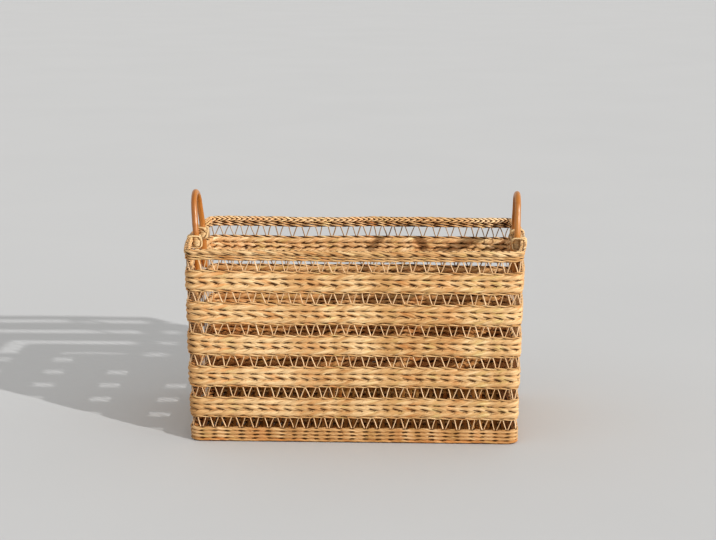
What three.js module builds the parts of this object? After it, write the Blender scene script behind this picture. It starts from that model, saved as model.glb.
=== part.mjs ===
// An open, rectangular basket for magazines, woven of straw on split-cane stakes.
// Its courses lie one on the other: a twined foot, open rows of leaning stakes, thick woven bands,
// and a plaited rim. A bent-cane bow is lashed inside each short wall. Millimetres, +Z up, with the
// origin on the floor under the middle of the basket.
import * as THREE from 'three';

// Plan of the wall. Lengths (X) and depths (Y) are outside sizes, and the wall leans out a little
// from the base to the rim. The bows are how far a wall bellies out at the rim, half way along.
const rimLength = 540;
const rimDepth = 320;
const baseLength = 530;
const baseDepth = 314;
const cornerRadius = 18;
const shortWallBow = 9;
const longWallBow = 3;

// Across the wall.
const wallThickness = 8.5;
const twineThickness = 6;
const clearance = 0.3;

// Heights of the courses, and how many there are.
const footRows = 4;
const footRowHeight = 5.7;
const bands = 5;
const walesPerBand = 3;
const waleHeight = 9;
const bandTwineHeight = 3.3;
const openRowHeight = 16.2;
const rimTwineRows = 2;
const rimTwineHeight = 4;
const rimRopeHeight = 8.4;
const rimRopeThickness = 4.8;

// The stakes: strips of split cane, flat inside and crowned outside, two to each V.
const stakePairs = 80;
const stakeWidth = 2.2;
const stakeThickness = 1.4;

// The handles. Each leg stands behind a peak of the top stakes, counted from the middle of the short
// wall, and runs straight a little past the rim before the bow draws in. A lean is how far the top
// of a bow stands outside its own legs.
const handleDiameter = 10;
const handleRise = 72;
const handleLegPeaks = 2;
const handleBowRadius = 34;
const handleStraight = 9;
const leftHandleLean = 6;
const rightHandleLean = 1;

// The lashings round the handle legs and the rim.
const lashingWidth = 3.6;
const lashingThickness = 1.3;

// The base. Its crossings are how often one weaver goes from wall to wall.
const baseSticks = 5;
const baseStickDiameter = 5;
const baseWeavers = 8;
const baseCrossings = 10;
const baseWeaverThickness = 1.8;
const baseWeaverGap = 0.6;
const baseLift = 1;

// How finely the shapes are cut up. Shares run along half of a wall, from its middle.
const cornerSteps = 2;
const shortWallShares = [-0.5, 0, 0.5];
const longWallShares = [0];
const handleSteps = 24;
const waleSides = 6;
const twineSides = 4;
const handleSides = 8;
const baseTurnSteps = 3;

function material(name, color, roughness) {
  return new THREE.MeshStandardMaterial({ name, color, roughness, metalness: 0 });
}

const straw = material('straw', 0xd9ab6b, 0.75);
const twinedStraw = material('twined straw', 0xcf9d5c, 0.78);
const splitCane = material('split cane', 0xe6c08a, 0.6);
const bentCane = material('bent cane', 0xc07a3e, 0.4);
const peel = material('peel', 0xe2c68c, 0.55);

// The courses of the wall from the floor up, each with its own start height.
function stackCourses() {
  const courses = [];
  let height = 0;
  const add = (kind, name, tall) => {
    courses.push({ kind, name, start: height, tall, middle: height + tall / 2 });
    height += tall + clearance;
  };
  for (let row = 1; row <= footRows; row += 1) {
    add('foot', `foot_twine_${row}`, footRowHeight);
  }
  for (let band = 1; band <= bands; band += 1) {
    add('stakes', `stakes_row_${band}`, openRowHeight);
    add('twine', `band_${band}_lower_twine`, bandTwineHeight);
    for (let wale = 1; wale <= walesPerBand; wale += 1) {
      add('wale', `band_${band}_wale_${wale}`, waleHeight);
    }
    add('twine', `band_${band}_upper_twine`, bandTwineHeight);
  }
  add('stakes', `stakes_row_${bands + 1}`, openRowHeight);
  for (let row = 1; row <= rimTwineRows; row += 1) {
    add('twine', `rim_twine_${row}`, rimTwineHeight);
  }
  add('rope', 'rim_rope', rimRopeHeight);
  return courses;
}

const courses = stackCourses();
const course = (name) => courses.find((one) => one.name === name);
const top = (one) => one.start + one.tall;
const rimHeight = top(course('rim_rope'));
const legBottom = course(`band_${bands}_lower_twine`).start;

// The closed line round the basket at one height, lying `inset` inside the wall's outer face.
// Its points run anticlockwise, seen from above, from the middle of the right-hand wall.
function wallLine(height, inset) {
  const rise = height / rimHeight;
  const halfLength = THREE.MathUtils.lerp(baseLength, rimLength, rise) / 2 - inset;
  const halfDepth = THREE.MathUtils.lerp(baseDepth, rimDepth, rise) / 2 - inset;
  const radius = cornerRadius - inset;
  const shortWall = {
    reach: halfLength, run: halfDepth - radius, bow: shortWallBow, shares: shortWallShares,
  };
  const longWall = {
    reach: halfDepth, run: halfLength - radius, bow: longWallBow, shares: longWallShares,
  };
  const points = [];
  [shortWall, longWall, shortWall, longWall].forEach(({ reach, run, bow, shares }, wall) => {
    const facing = wall * Math.PI / 2;
    const place = (out, along) => new THREE.Vector2(out, along).rotateAround(new THREE.Vector2(), facing);
    for (const share of shares) {
      points.push(place(reach + bow * rise * (1 - share * share), run * share));
    }
    for (let step = 0; step <= cornerSteps; step += 1) {
      const turn = step / cornerSteps * Math.PI / 2;
      points.push(place(reach - radius + radius * Math.cos(turn), run + radius * Math.sin(turn)));
    }
  });
  const beforeTheMiddle = shortWallShares.filter((share) => share < 0).length;
  return [...points.slice(beforeTheMiddle), ...points.slice(0, beforeTheMiddle)];
}

function lineLength(line) {
  return line.reduce((sum, point, index) => sum + point.distanceTo(line[(index + 1) % line.length]), 0);
}

// The point at a distance along a closed line, and the direction that faces out of the basket there.
function pointAlong(line, distance) {
  let left = THREE.MathUtils.euclideanModulo(distance, lineLength(line));
  let index = 0;
  let step = line[0].distanceTo(line[1]);
  while (left > step) {
    left -= step;
    index += 1;
    step = line[index].distanceTo(line[(index + 1) % line.length]);
  }
  const ahead = line[(index + 1) % line.length].clone().sub(line[index]).normalize();
  const point = line[index].clone().addScaledVector(ahead, left);
  return { point, outward: new THREE.Vector2(ahead.y, -ahead.x) };
}

// A section with a flat top and bottom, as points (outward, up) that run anticlockwise.
function flatSection(sides, width, height) {
  const corners = [];
  for (let side = 0; side < sides; side += 1) {
    const turn = Math.PI / 2 + (side - 0.5) * 2 * Math.PI / sides;
    corners.push(new THREE.Vector2(Math.cos(turn), Math.sin(turn)));
  }
  const wide = Math.max(...corners.map((corner) => corner.x));
  const tall = Math.max(...corners.map((corner) => corner.y));
  const scale = new THREE.Vector2(width / 2 / wide, height / 2 / tall);
  return corners.map((corner) => corner.multiply(scale));
}

// A solid skinned over a row of sections with equally many points. The points of a section run
// anticlockwise when the next section lies behind it. A closed row joins its last section to its first.
function loft(sections, closed) {
  const sides = sections[0].length;
  const positions = sections.flat().flatMap((point) => [point.x, point.y, point.z]);
  const corner = (section, side) => (section % sections.length) * sides + side % sides;
  const faces = [];
  const spans = closed ? sections.length : sections.length - 1;
  for (let span = 0; span < spans; span += 1) {
    for (let side = 0; side < sides; side += 1) {
      faces.push(corner(span, side), corner(span + 1, side), corner(span + 1, side + 1));
      faces.push(corner(span, side), corner(span + 1, side + 1), corner(span, side + 1));
    }
  }
  if (!closed) {
    const last = sections.length - 1;
    for (let side = 1; side < sides - 1; side += 1) {
      faces.push(corner(0, 0), corner(0, side), corner(0, side + 1));
      faces.push(corner(last, 0), corner(last, side + 1), corner(last, side));
    }
  }
  const geometry = new THREE.BufferGeometry();
  geometry.setAttribute('position', new THREE.Float32BufferAttribute(positions, 3));
  geometry.setIndex(faces);
  geometry.computeVertexNormals();
  return geometry;
}

function piece(name, geometry, finish) {
  const mesh = new THREE.Mesh(geometry, finish);
  mesh.name = name;
  return mesh;
}

// A ring of constant section round the basket, with its middle `inset` inside the outer face.
function ring(one, inset, section) {
  const rows = section.map((corner) => wallLine(one.middle, inset - corner.x));
  const stations = rows[0].map((_, station) => section.map(
    (corner, row) => new THREE.Vector3(rows[row][station].x, rows[row][station].y, one.middle + corner.y),
  ));
  return loft(stations, true);
}

const wallMiddle = wallThickness / 2;
const vPitch = (one) => lineLength(wallLine(one.middle, wallMiddle)) / stakePairs;

// One open row: a strip that climbs and falls round the basket, two strips to a V. In the top row a
// peak lies in the middle of each short wall, and each row below is half a V further round.
function stakes(one) {
  const line = wallLine(one.middle, wallMiddle);
  const halfV = vPitch(one) / 2;
  const tipHeight = stakeWidth * Math.hypot(halfV, one.tall) / halfV;
  const reach = (one.tall - tipHeight) / 2;
  const rowsAbove = courses.filter((other) => other.kind === 'stakes' && other.start > one.start).length;
  const stations = [];
  for (let tip = 0; tip < 2 * stakePairs; tip += 1) {
    const { point, outward } = pointAlong(line, tip * halfV);
    const height = one.middle + ((tip + rowsAbove) % 2 === 0 ? reach : -reach);
    const corner = (out, up) => {
      const place = point.clone().addScaledVector(outward, out);
      return new THREE.Vector3(place.x, place.y, height + up);
    };
    stations.push([
      corner(-stakeThickness / 2, tipHeight / 2),
      corner(-stakeThickness / 2, -tipHeight / 2),
      corner(stakeThickness / 2, 0),
    ]);
  }
  return loft(stations, true);
}

const wallSections = {
  foot: { section: flatSection(waleSides, wallThickness, footRowHeight), finish: twinedStraw },
  wale: { section: flatSection(waleSides, wallThickness, waleHeight), finish: straw },
};

function wall() {
  const group = new THREE.Group();
  for (const one of courses) {
    if (one.kind === 'stakes') {
      group.add(piece(one.name, stakes(one), splitCane));
    } else if (one.kind === 'twine') {
      const section = flatSection(twineSides, twineThickness, one.tall);
      group.add(piece(one.name, ring(one, wallMiddle, section), twinedStraw));
    } else if (one.kind === 'rope') {
      const section = flatSection(waleSides, rimRopeThickness, one.tall);
      const apart = (rimRopeThickness + clearance) / 2;
      group.add(piece('rim_rope_outer', ring(one, wallMiddle - apart, section), straw));
      group.add(piece('rim_rope_inner', ring(one, wallMiddle + apart, section), straw));
    } else {
      const { section, finish } = wallSections[one.kind];
      group.add(piece(one.name, ring(one, wallMiddle, section), finish));
    }
  }
  return group;
}

// The axis of a leg. It passes the rim behind a peak of the top stakes, so that the lashing finds an
// open V on either side of it. `side` is 1 for one leg and -1 for the other.
const topRow = course(`stakes_row_${bands + 1}`);
const ropeOverhang = Math.max(0, 2 * rimRopeThickness + clearance - wallThickness) / 2;
const legInset = wallThickness + ropeOverhang + clearance + handleDiameter / 2;
const legPlace = handleLegPeaks * vPitch(topRow);
const atLeg = (side, height, inset) => pointAlong(wallLine(height, inset), side * legPlace);

// The bow of the right-hand handle: up one leg, over in a half circle and down the other.
function handle(lean) {
  const bowMiddle = rimHeight + handleRise - handleDiameter / 2 - handleBowRadius;
  const atRim = atLeg(1, rimHeight, legInset).point;
  const outwardAt = (height) => atRim.x + lean * (height - rimHeight) / handleRise;
  const legAndShoulder = (side) => {
    const heights = [legBottom, (legBottom + rimHeight) / 2, rimHeight, rimHeight + handleStraight];
    const leg = heights.map((height) => {
      const { point } = atLeg(side, height, legInset);
      return new THREE.Vector3(point.x, point.y, height);
    });
    return [...leg, new THREE.Vector3(outwardAt(bowMiddle), side * handleBowRadius, bowMiddle)];
  };
  const bow = [1, 2, 3].map((eighth) => {
    const turn = eighth * Math.PI / 4;
    const height = bowMiddle + handleBowRadius * Math.sin(turn);
    return new THREE.Vector3(outwardAt(height), -handleBowRadius * Math.cos(turn), height);
  });
  const points = [...legAndShoulder(-1), ...bow, ...legAndShoulder(1).reverse()];
  const route = new THREE.CatmullRomCurve3(points, false, 'centripetal');
  const section = flatSection(handleSides, handleDiameter, handleDiameter);
  const outward = new THREE.Vector3(1, 0, 0);
  const stations = route.getSpacedPoints(handleSteps).map((middle, step) => {
    const sideways = outward.clone().cross(route.getTangentAt(step / handleSteps)).normalize();
    return section.map((corner) => middle.clone()
      .addScaledVector(outward, corner.x)
      .addScaledVector(sideways, corner.y));
  });
  return loft(stations, false);
}

// A lashing is one endless strip. Seen from inside the basket it crosses the leg as an X, and
// outside it runs down on each side of the leg, back under the rim and in above the stakes.
function lashing(side) {
  const half = lashingThickness / 2;
  const under = top(topRow) - half;
  const over = rimHeight + clearance + half;
  const outer = -legInset - ropeOverhang - clearance - half;
  const inner = handleDiameter / 2 + clearance + half;
  const crossing = inner + lashingThickness + clearance;
  const beside = handleDiameter / 2 + clearance + lashingWidth / 2;
  const turn = lashingThickness;
  // A station is how far inside the leg's axis it lies, how far along the wall from the axis, how
  // high, and which way the strip's face looks there, as (inward, up).
  const pass = (from, inside) => [
    [inside, from, under + turn, 1, 0],
    [inside, -from, over - turn, 1, 0],
    [inside - turn, -from, over, 0, 1],
    [outer + turn, -from, over, 0, 1],
    [outer, -from, over - turn, -1, 0],
    [outer, -from, under + turn, -1, 0],
    [outer + turn, -from, under, 0, -1],
    [inner - turn, -from, under, 0, -1],
  ];
  const route = [...pass(-beside, inner), ...pass(beside, crossing)];
  const stations = route.map(([inside, aside, height, inward, up]) => {
    const { point: axis, outward } = atLeg(side, height, legInset);
    const along = new THREE.Vector2(-outward.y, outward.x);
    const corner = (across, face) => {
      const place = axis.clone()
        .addScaledVector(outward, -inside - inward * face)
        .addScaledVector(along, aside + across);
      return new THREE.Vector3(place.x, place.y, height + up * face);
    };
    return [
      corner(-lashingWidth / 2, -half),
      corner(-lashingWidth / 2, half),
      corner(lashingWidth / 2, half),
      corner(lashingWidth / 2, -half),
    ];
  });
  return loft(stations, true);
}

function handleEnd(side, lean, turn, sideOfFront) {
  const group = new THREE.Group();
  group.rotation.z = turn;
  group.add(piece(`handle_${side}`, handle(lean), bentCane));
  group.add(piece(`lashing_${side}_front`, lashing(sideOfFront), peel));
  group.add(piece(`lashing_${side}_rear`, lashing(-sideOfFront), peel));
  return group;
}

// The base lies inside the foot, just clear of the floor. Sticks run lengthwise, and the weavers
// cross them over and under by turns.
const baseInsideLength = baseLength / 2 - wallThickness - clearance;
const baseInsideDepth = baseDepth / 2 - wallThickness - clearance;
const baseMiddle = baseLift + baseWeaverThickness + clearance + baseStickDiameter / 2;
const stickPlaces = Array.from(
  { length: baseSticks },
  (_, stick) => ((2 * stick + 1) / baseSticks - 1) * baseInsideDepth,
);

function baseStick(across) {
  const section = flatSection(waleSides, baseStickDiameter, baseStickDiameter);
  const ends = [baseInsideLength, -baseInsideLength].map((reach) => section.map(
    (corner) => new THREE.Vector3(reach, across + corner.x, baseMiddle + corner.y),
  ));
  return loft(ends, false);
}

// The weavers fill the straight run of the long walls, between the rounded corners. Each is one long
// strand that crosses the sticks over and under by turns, turns round at the wall and comes back
// beside itself, so a crossing goes over where the one before went under.
function baseWeaver(weaver) {
  const run = 2 * (baseInsideLength - (cornerRadius - wallThickness));
  const pitch = run / (baseWeavers * baseCrossings);
  const halfWidth = (pitch - baseWeaverGap) / 2;
  const halfThickness = baseWeaverThickness / 2;
  const flat = baseStickDiameter / 2 + clearance;
  const turnMiddle = baseInsideDepth - halfWidth - pitch / 2;
  const stations = [];
  const addStation = (along, across, up, heading) => {
    const right = new THREE.Vector2(heading.y, -heading.x);
    const corner = (beside, face) => new THREE.Vector3(
      along + right.x * beside, across + right.y * beside, baseMiddle + up + face,
    );
    stations.push([
      corner(-halfWidth, -halfThickness),
      corner(halfWidth, -halfThickness),
      corner(halfWidth, halfThickness),
      corner(-halfWidth, halfThickness),
    ]);
  };
  for (let crossing = 0; crossing < baseCrossings; crossing += 1) {
    const number = weaver * baseCrossings + crossing;
    const along = (number + 0.5) * pitch - run / 2;
    const ahead = crossing % 2 === 0 ? 1 : -1;
    const straight = new THREE.Vector2(0, ahead);
    if (crossing === 0) {
      addStation(along, -ahead * baseInsideDepth, 0, straight);
    }
    for (let passed = 0; passed < baseSticks; passed += 1) {
      const stick = ahead === 1 ? passed : baseSticks - 1 - passed;
      const across = stickPlaces[stick];
      const crest = ((stick + number) % 2 === 0 ? 1 : -1) * (flat + halfThickness);
      addStation(along, across - ahead * flat, crest, straight);
      addStation(along, across + ahead * flat, crest, straight);
    }
    if (crossing === baseCrossings - 1) {
      addStation(along, ahead * baseInsideDepth, 0, straight);
    } else {
      for (let step = 0; step <= baseTurnSteps; step += 1) {
        const turn = step / baseTurnSteps * Math.PI;
        const heading = new THREE.Vector2(Math.sin(turn), ahead * Math.cos(turn));
        const turned = along + pitch / 2 * (1 - Math.cos(turn));
        addStation(turned, ahead * (turnMiddle + pitch / 2 * Math.sin(turn)), 0, heading);
      }
    }
  }
  return loft(stations, false);
}

function base() {
  const group = new THREE.Group();
  stickPlaces.forEach((across, stick) => {
    group.add(piece(`base_stick_${stick + 1}`, baseStick(across), bentCane));
  });
  for (let weaver = 0; weaver < baseWeavers; weaver += 1) {
    group.add(piece(`base_weaver_${weaver + 1}`, baseWeaver(weaver), straw));
  }
  return group;
}

const basket = new THREE.Group();
basket.add(wall());
basket.add(handleEnd('right', rightHandleLean, 0, -1));
basket.add(handleEnd('left', leftHandleLean, Math.PI, 1));
basket.add(base());

export default basket;
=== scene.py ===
"""Looks of a straw and cane magazine basket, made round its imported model. Metres, +Z up."""

import math

import bmesh
import bpy
import numpy as np
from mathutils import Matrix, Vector
from numpy.random import default_rng


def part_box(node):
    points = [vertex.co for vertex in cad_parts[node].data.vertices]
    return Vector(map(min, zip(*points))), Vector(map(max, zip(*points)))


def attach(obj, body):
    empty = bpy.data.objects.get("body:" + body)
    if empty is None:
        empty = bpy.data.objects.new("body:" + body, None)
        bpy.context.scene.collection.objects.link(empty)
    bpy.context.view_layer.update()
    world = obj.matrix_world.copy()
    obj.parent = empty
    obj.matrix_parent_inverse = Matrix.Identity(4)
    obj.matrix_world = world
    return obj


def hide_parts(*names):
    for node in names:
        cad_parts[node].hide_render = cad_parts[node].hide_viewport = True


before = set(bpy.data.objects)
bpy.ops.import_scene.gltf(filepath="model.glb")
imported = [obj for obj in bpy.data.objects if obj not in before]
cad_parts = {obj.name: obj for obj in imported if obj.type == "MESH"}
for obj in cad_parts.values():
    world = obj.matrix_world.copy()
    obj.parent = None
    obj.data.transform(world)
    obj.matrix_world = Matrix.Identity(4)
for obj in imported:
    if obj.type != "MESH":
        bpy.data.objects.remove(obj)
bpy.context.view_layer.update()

MM = 0.001

# Plan of the wall, as in the model: outside sizes, corner radius and how far the walls belly out.
RIM_LENGTH, RIM_DEPTH = 540 * MM, 320 * MM
BASE_LENGTH, BASE_DEPTH = 530 * MM, 314 * MM
CORNER_RADIUS = 18 * MM
SHORT_WALL_BOW, LONG_WALL_BOW = 9 * MM, 3 * MM
RIM_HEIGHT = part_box("rim_rope_outer")[1].z
WALL_MIDDLE = 4.25 * MM
V_COUNT, BANDS, WALES = 80, 5, 3

# How finely lines are drawn: a wall, a corner, a guide round the basket and a stretch of a route.
WALL_POINTS, CORNER_POINTS, GUIDE_POINTS, ROUTE_STEPS = 41, 16, 720, 12

# The straw ropes: their hidden heart, painted the deep brown of shade, how far in the slits between
# strands go, how strong the slits' marks of painted shade are and how far they stray from a stake, and
# how high the painted shadow along the floor reaches on the row there.
HEART_THICKNESS, HEART_OVERLAP = 2.4 * MM, 0.5 * MM
HOLLOW_DEPTH = 0.6
FAINTEST_MARK, DEEPEST_MARK, MARK_STRAY = 0.85, 1.25, 1.1 * MM
FOOT_ROW, FLOOR_SHADE = 5.7 * MM, 1.8 * MM

# How uneven the hand leaves them: a rope's roll and lift, its strands' thickness and place, and the
# height from which the wall drifts freely. Each is a sum of many waves.
ROLL_STRAY, LIFT_STRAY, PLUMP, STRAY = 0.09, 0.03, 0.07, 0.08
FREE_HEIGHT = 60 * MM
WAVES, DRIFT_WAVES = 14, 16

# The stakes: strips of cane in pairs, closer at the foot than at the head and hidden in the bands at
# both ends. The right-hand one of a pair is turned. They stray in the place of the pair, of the foot
# and the head, in how they bow and in depth.
STAKE_WIDTH, STAKE_THICKNESS, STAKE_HIDDEN = 2.2 * MM, 1.3 * MM, 3.5 * MM
STAKE_FOOT_APART, STAKE_HEAD_APART = 3.3 * MM, 13.8 * MM
STAKE_TWIST, STAKE_TWIST_STRAY = math.radians(-38), 0.12
STAKE_BREADTHS = 0.8, 1.15
STAKE_STRAY = np.array([0.25, 0.35, 0.8, 0.3, 0.35]) * MM

# The bows: a leg stands two Vs each side of the wall's middle, and its cane is 10 mm thick.
HANDLE_PEAKS = 2
HANDLE_DIAMETER = 10 * MM
HANDLE_RISE = 72 * MM
BOW_RADIUS = 34 * MM
BOW_MIDDLE = 348.5 * MM
LEG_INSET = 14.5 * MM
LEG_HEIGHTS = (246.9 * MM, 281.2 * MM, 315.5 * MM, 324.5 * MM)

# The lashings: a strap of peel strips over a coil, and how far the rim stands out where it crosses.
LASHING_WIDTH, LASHING_THICKNESS, LASHING_BEND = 3.6 * MM, 1.3 * MM, 2.4 * MM
LASHING_STRIPS, PEEL_STRIP_WIDTH = 5, LASHING_WIDTH / 3
COIL_TURNS, COIL_THICKNESS = 6, 1.6 * MM
CLEARANCE, ROPE_OVERHANG = 0.3 * MM, -1.3 * MM

# The base: flat straws to and fro over and under the sticks, and two single ones at each end.
BASE_CROSSINGS = 10
BASE_STRAW_GAP, BASE_STRAW_THICKNESS = 0.6 * MM, 1.7 * MM
BASE_STICK_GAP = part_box("base_stick_2")[0].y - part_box("base_stick_1")[0].y
END_STRAWS, END_STRAW_LOW = 2, 6.9 * MM

# The view of the photograph, and how far the floor goes.
CAMERA_PLACE = (0.102, -2.666, 0.802)
CAMERA_TILT, CAMERA_YAW = math.radians(78.36), math.radians(2.16)
CAMERA_LENS, CAMERA_SENSOR, CAMERA_REACH = 81.8, 36, 200
FLOOR_SIZE = 160

# The light: where the key comes from, level and up, how strong and how soft it is, the fill at the
# horizon and overhead, and the slightly warm white of both.
WARM_WHITE = (1.0, 0.985, 0.965)
KEY_FROM, KEY_RISE = (0.8, -0.6, 0), math.radians(19)
KEY_STRENGTH, KEY_SOFTNESS = 2.71, math.radians(0.8)
FILL_LEVEL, FILL_ABOVE = 1.04, 0.42


def deselect():
    """Leaves edit mode and drops every selection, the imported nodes' too."""
    if bpy.context.object and bpy.context.object.mode != "OBJECT":
        bpy.ops.object.mode_set(mode="OBJECT")
    bpy.ops.object.select_all(action="DESELECT")


def take(piece):
    """Makes one piece the selected and active one."""
    deselect()
    piece.select_set(True)
    bpy.context.view_layer.objects.active = piece


def finish_modifier(piece, kind, **settings):
    """Adds a modifier with these settings to a piece and applies it."""
    take(piece)
    modifier = piece.modifiers.new(kind.title(), kind)
    for name, value in settings.items():
        setattr(modifier, name, value)
    bpy.ops.object.modifier_apply(modifier=modifier.name)


def points_of(piece):
    """The places of a piece's vertices, as rows of x, y, z."""
    flat = np.empty(len(piece.data.vertices) * 3)
    piece.data.vertices.foreach_get("co", flat)
    return flat.reshape(-1, 3)


def place_points(piece, points):
    """Moves a piece's vertices to these places."""
    piece.data.vertices.foreach_set("co", points.ravel())
    piece.data.update()


def edit_all(piece):
    """Opens a piece in edit mode with everything selected."""
    take(piece)
    bpy.ops.object.mode_set(mode="EDIT")
    bpy.ops.mesh.select_all(action="SELECT")


def smooth_outwards(piece):
    """Turns a piece's faces outwards and shades it smooth."""
    edit_all(piece)
    bpy.ops.mesh.normals_make_consistent(inside=False)
    bpy.ops.object.mode_set(mode="OBJECT")
    bpy.ops.object.shade_smooth()


def repeat(piece, count, step, merged=True):
    """Repeats a piece along X, and merges each end with the next one's start."""
    finish_modifier(piece, "ARRAY", count=count, use_relative_offset=False, use_constant_offset=True,
                    constant_offset_displace=(step, 0, 0), use_merge_vertices=merged,
                    merge_threshold=0.01 * MM)


def unit(rows):
    """Rows of numbers, each made 1 long."""
    return rows / np.linalg.norm(rows, axis=1)[:, None]


def reach_of(points):
    """How far along a line each of its points lies."""
    return np.concatenate([[0], np.cumsum(np.linalg.norm(np.diff(points, axis=0), axis=1))])


def stretch(start, end, start_slope, end_slope):
    """A smooth stretch of a line from one point to the next, which it leaves out."""
    t = np.linspace(0, 1, ROUTE_STEPS, endpoint=False)[:, None]
    return ((2 * t ** 3 - 3 * t ** 2 + 1) * start + (t ** 3 - 2 * t ** 2 + t) * start_slope
            + (3 * t ** 2 - 2 * t ** 3) * end + (t ** 3 - t ** 2) * end_slope)


# ---- the line of the wall


def wall_line(height, inset):
    """The closed line round the basket at a height, `inset` inside the outer face, as x, y rows.
    It runs anticlockwise, seen from above, from the middle of the right-hand wall."""
    rise = height / RIM_HEIGHT
    half_length = (BASE_LENGTH + (RIM_LENGTH - BASE_LENGTH) * rise) / 2 - inset
    half_depth = (BASE_DEPTH + (RIM_DEPTH - BASE_DEPTH) * rise) / 2 - inset
    radius = CORNER_RADIUS - inset
    walls = [(half_length, half_depth - radius, SHORT_WALL_BOW),
             (half_depth, half_length - radius, LONG_WALL_BOW)] * 2
    shares = np.linspace(-1, 1, WALL_POINTS)
    bends = np.linspace(0, math.pi / 2, CORNER_POINTS)[1:-1]
    line = []
    for wall, (reach, run, bow) in enumerate(walls):
        facing = wall * math.pi / 2
        out = np.concatenate([reach + bow * rise * (1 - shares ** 2),
                              reach - radius + radius * np.cos(bends)])
        along = np.concatenate([run * shares, run + radius * np.sin(bends)])
        line.append(np.c_[out * math.cos(facing) - along * math.sin(facing),
                          out * math.sin(facing) + along * math.cos(facing)])
    return np.roll(np.vstack(line), -(WALL_POINTS // 2), axis=0)


def line_length(line):
    """How long a closed line is."""
    return np.linalg.norm(np.roll(line, -1, axis=0) - line, axis=1).sum()


def point_along(line, distance):
    """The point at a distance along a closed line."""
    closed = np.vstack([line, line[:1]])
    reached = reach_of(closed)
    distance = np.mod(distance, reached[-1])
    return np.array([np.interp(distance, reached, closed[:, axis]) for axis in (0, 1)]).T


def guide(height, inset):
    """A curve round the wall for pieces to bend along, with evenly spaced points, and its length."""
    line = wall_line(height, inset)
    length = line_length(line)
    places = point_along(line, np.arange(GUIDE_POINTS) / GUIDE_POINTS * length)
    return guide_curve(np.c_[places, np.full(len(places), height)], True), length


def guide_curve(points, closed):
    """A curve through these points. It is a help line, removed once a piece is bent along it."""
    curve = bpy.data.curves.new("guide", "CURVE")
    curve.dimensions = "3D"
    curve.twist_mode = "Z_UP" if closed else "MINIMUM"
    spline = curve.splines.new("POLY")
    spline.points.add(len(points) - 1)
    spline.points.foreach_set("co", np.c_[points, np.ones(len(points))].ravel())
    spline.use_cyclic_u = closed
    line = bpy.data.objects.new("guide", curve)
    bpy.context.scene.collection.objects.link(line)
    return line


def bend_along(piece, line):
    """Bends a piece that lies along +X round a guide, and removes the guide."""
    line.data.use_deform_bounds = False
    line.data.use_stretch = False
    finish_modifier(piece, "CURVE", object=line, deform_axis="POS_X")
    bpy.data.objects.remove(line)


# ---- the hand of the weaver


def uneven(rng, length, longest, shortest, size):
    """A wavy function of the distance round a closed row, as uneven as straw laid by hand."""
    counts = rng.integers(max(1, round(length / longest)), round(length / shortest) + 1, WAVES)
    phases = rng.uniform(0, 2 * math.pi, len(counts))
    scale = size * math.sqrt(2 / len(counts))

    def wave(distance):
        turns = 2 * math.pi * distance[:, None] / length * counts[None, :] + phases[None, :]
        return scale * np.sin(turns).sum(axis=1)

    return wave


def drift_waves(seed, longest, shortest, size):
    """A smooth random function of place, for how a wall strays from its plan."""
    rng = default_rng(seed)
    headings = unit(rng.normal(size=(DRIFT_WAVES, 3)))
    rates = 2 * math.pi / rng.uniform(shortest, longest, DRIFT_WAVES)
    phases = rng.uniform(0, 2 * math.pi, DRIFT_WAVES)
    scale = size * math.sqrt(2 / DRIFT_WAVES)
    return lambda places: scale * np.sin(places @ (headings * rates[:, None]).T + phases).sum(axis=1)


WALL_DRIFT = [
    drift_waves(11, 320 * MM, 120 * MM, 0.28 * MM),
    drift_waves(12, 320 * MM, 120 * MM, 0.28 * MM),
    drift_waves(13, 300 * MM, 80 * MM, 0.6 * MM),
]


def let_drift(piece):
    """Moves a finished piece of the wall a little, with its neighbours, and less near the floor."""
    points = points_of(piece)
    hold = np.clip(points[:, 2] / FREE_HEIGHT, 0, 1)
    points += np.stack([wave(points) * hold for wave in WALL_DRIFT], axis=1)
    place_points(piece, points)


CROWD_WAVE = uneven(default_rng(21), 1.0, 0.34, 0.1, 0.16)


def crowd(share):
    """How far the stakes and the strands round them stand from even spacing, in Vs, at a share of
    the way round the basket. It is one for all rows, as the stakes run all the way up."""
    return CROWD_WAVE(share) - CROWD_WAVE(np.zeros(1))[0]


# ---- straw ropes round the wall


def tube(length, sides, radius, cuts, ends="NOTHING"):
    """A tube along +X from the origin, in edit mode with everything selected."""
    deselect()
    bpy.ops.mesh.primitive_cylinder_add(
        vertices=sides, radius=radius, depth=length, end_fill_type=ends,
        location=(length / 2, 0, 0), rotation=(0, math.pi / 2, 0),
    )
    piece = bpy.context.object
    bpy.ops.object.transform_apply(location=True, rotation=True, scale=True)
    bpy.ops.object.mode_set(mode="EDIT")
    bpy.ops.mesh.select_mode(type="EDGE")
    bpy.ops.mesh.select_all(action="DESELECT")
    shape = bmesh.from_edit_mesh(piece.data)
    for edge in shape.edges:
        edge.select = abs(edge.verts[0].co.x - edge.verts[1].co.x) > length / 2
    bmesh.update_edit_mesh(piece.data)
    bpy.ops.mesh.subdivide(number_cuts=cuts)
    bpy.ops.mesh.select_mode(type="VERT")
    bpy.ops.mesh.select_all(action="SELECT")
    return piece


def rod(*form):
    """A tube that needs no more work in edit mode."""
    piece = tube(*form)
    bpy.ops.object.mode_set(mode="OBJECT")
    return piece


def map_of(piece):
    """A piece's own map, as rows of across, along."""
    flat = np.empty(len(piece.data.loops) * 2)
    piece.data.uv_layers.active.data.foreach_get("uv", flat)
    return flat.reshape(-1, 2)


def write_map(piece, sheet):
    """Gives a piece its own map. The whole part of across is the number of a strand or a strip, so
    that each has its own tone."""
    piece.data.uv_layers.active.data.foreach_set("uv", sheet.ravel())


def strand_of(points, strands):
    """Which strand of a straight bundle each point belongs to."""
    return np.mod(np.round(np.arctan2(points[:, 2], points[:, 1]) / (2 * math.pi / strands)), strands)


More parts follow.
